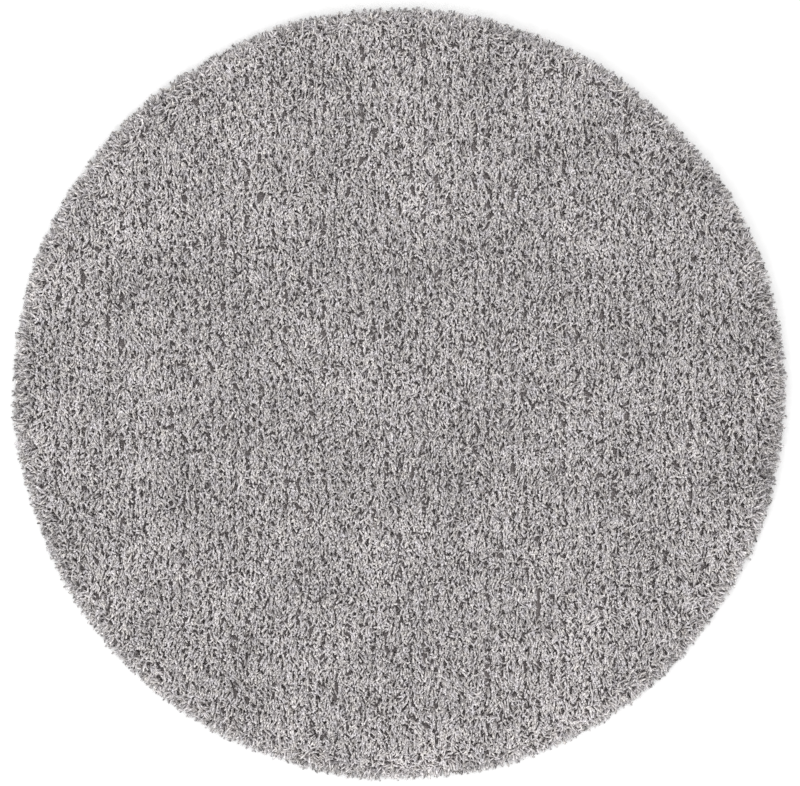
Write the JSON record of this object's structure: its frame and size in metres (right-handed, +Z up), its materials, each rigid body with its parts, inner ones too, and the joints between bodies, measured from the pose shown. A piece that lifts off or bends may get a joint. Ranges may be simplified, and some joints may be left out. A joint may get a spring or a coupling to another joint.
{
  "type": "round shag rug",
  "caption": "Round floor rug of thick cut-pile yarn, flat underneath, with a lumpy top and short locks of yarn that lean out around its edge.",
  "frame": {"origin": "on the floor, under the middle of the rug's box", "axes": "+Z up through the pile; the rows of tufts run along Y"},
  "size_m": [1.2054, 1.2026, 0.0356],
  "materials": {
    "pile": "matte",
    "ground_cloth": "matte"
  },
  "bodies": {
    "root": {"shag_rug": "pile"}
  },
  "joints": []
}
